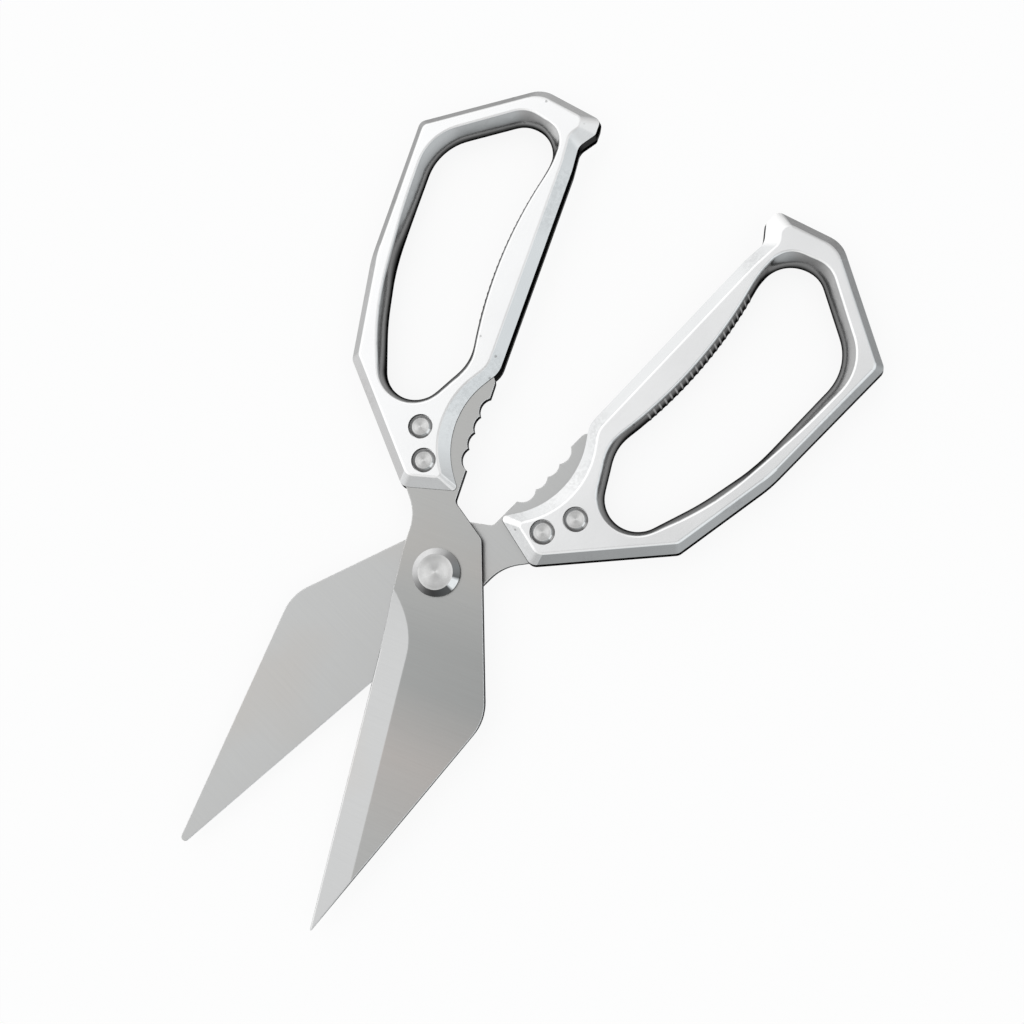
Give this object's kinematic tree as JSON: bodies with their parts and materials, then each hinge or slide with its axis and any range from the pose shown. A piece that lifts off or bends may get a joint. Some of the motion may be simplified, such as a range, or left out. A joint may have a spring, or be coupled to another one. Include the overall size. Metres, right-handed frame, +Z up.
{
  "type": "kitchen shears",
  "caption": "Pivoted kitchen shears with cast loop handles, wide pointed blades and a toothed gripping bay between handles and pivot.",
  "frame": {"origin": "on the pivot axis, in the plane the shears lie on", "axes": "+X towards the rear half's handle, +Y from the pivot towards the handles halfway between them, +Z up out of the front blade's face, along the pivot"},
  "size_m": [0.156, 0.244, 0.0093],
  "materials": {
    "handle": "satin cast silver",
    "blade": "fine satin steel",
    "rivet": "turned and polished steel",
    "pivot": "polished bevel around a turned flat"
  },
  "bodies": {
    "front_half": {"front_blade": "blade", "front_handle": "handle", "front_near_rivet_post": "rivet", "front_near_rivet_sleeve": "rivet", "front_far_rivet_post": "rivet", "front_far_rivet_sleeve": "rivet", "pivot_bolt": "pivot", "pivot_washer": "pivot", "pivot_nut": "pivot"},
    "rear_half": {"rear_blade": "blade", "rear_handle": "handle", "rear_near_rivet_post": "rivet", "rear_near_rivet_sleeve": "rivet", "rear_far_rivet_post": "rivet", "rear_far_rivet_sleeve": "rivet"}
  },
  "joints": [
    {"name": "pivot", "type": "hinge", "parent": "front_half", "child": "rear_half", "pos_m": [0, 0, 0.0046], "axis": [0, 0, -1], "range_deg": [-23.2, 60]}
  ]
}
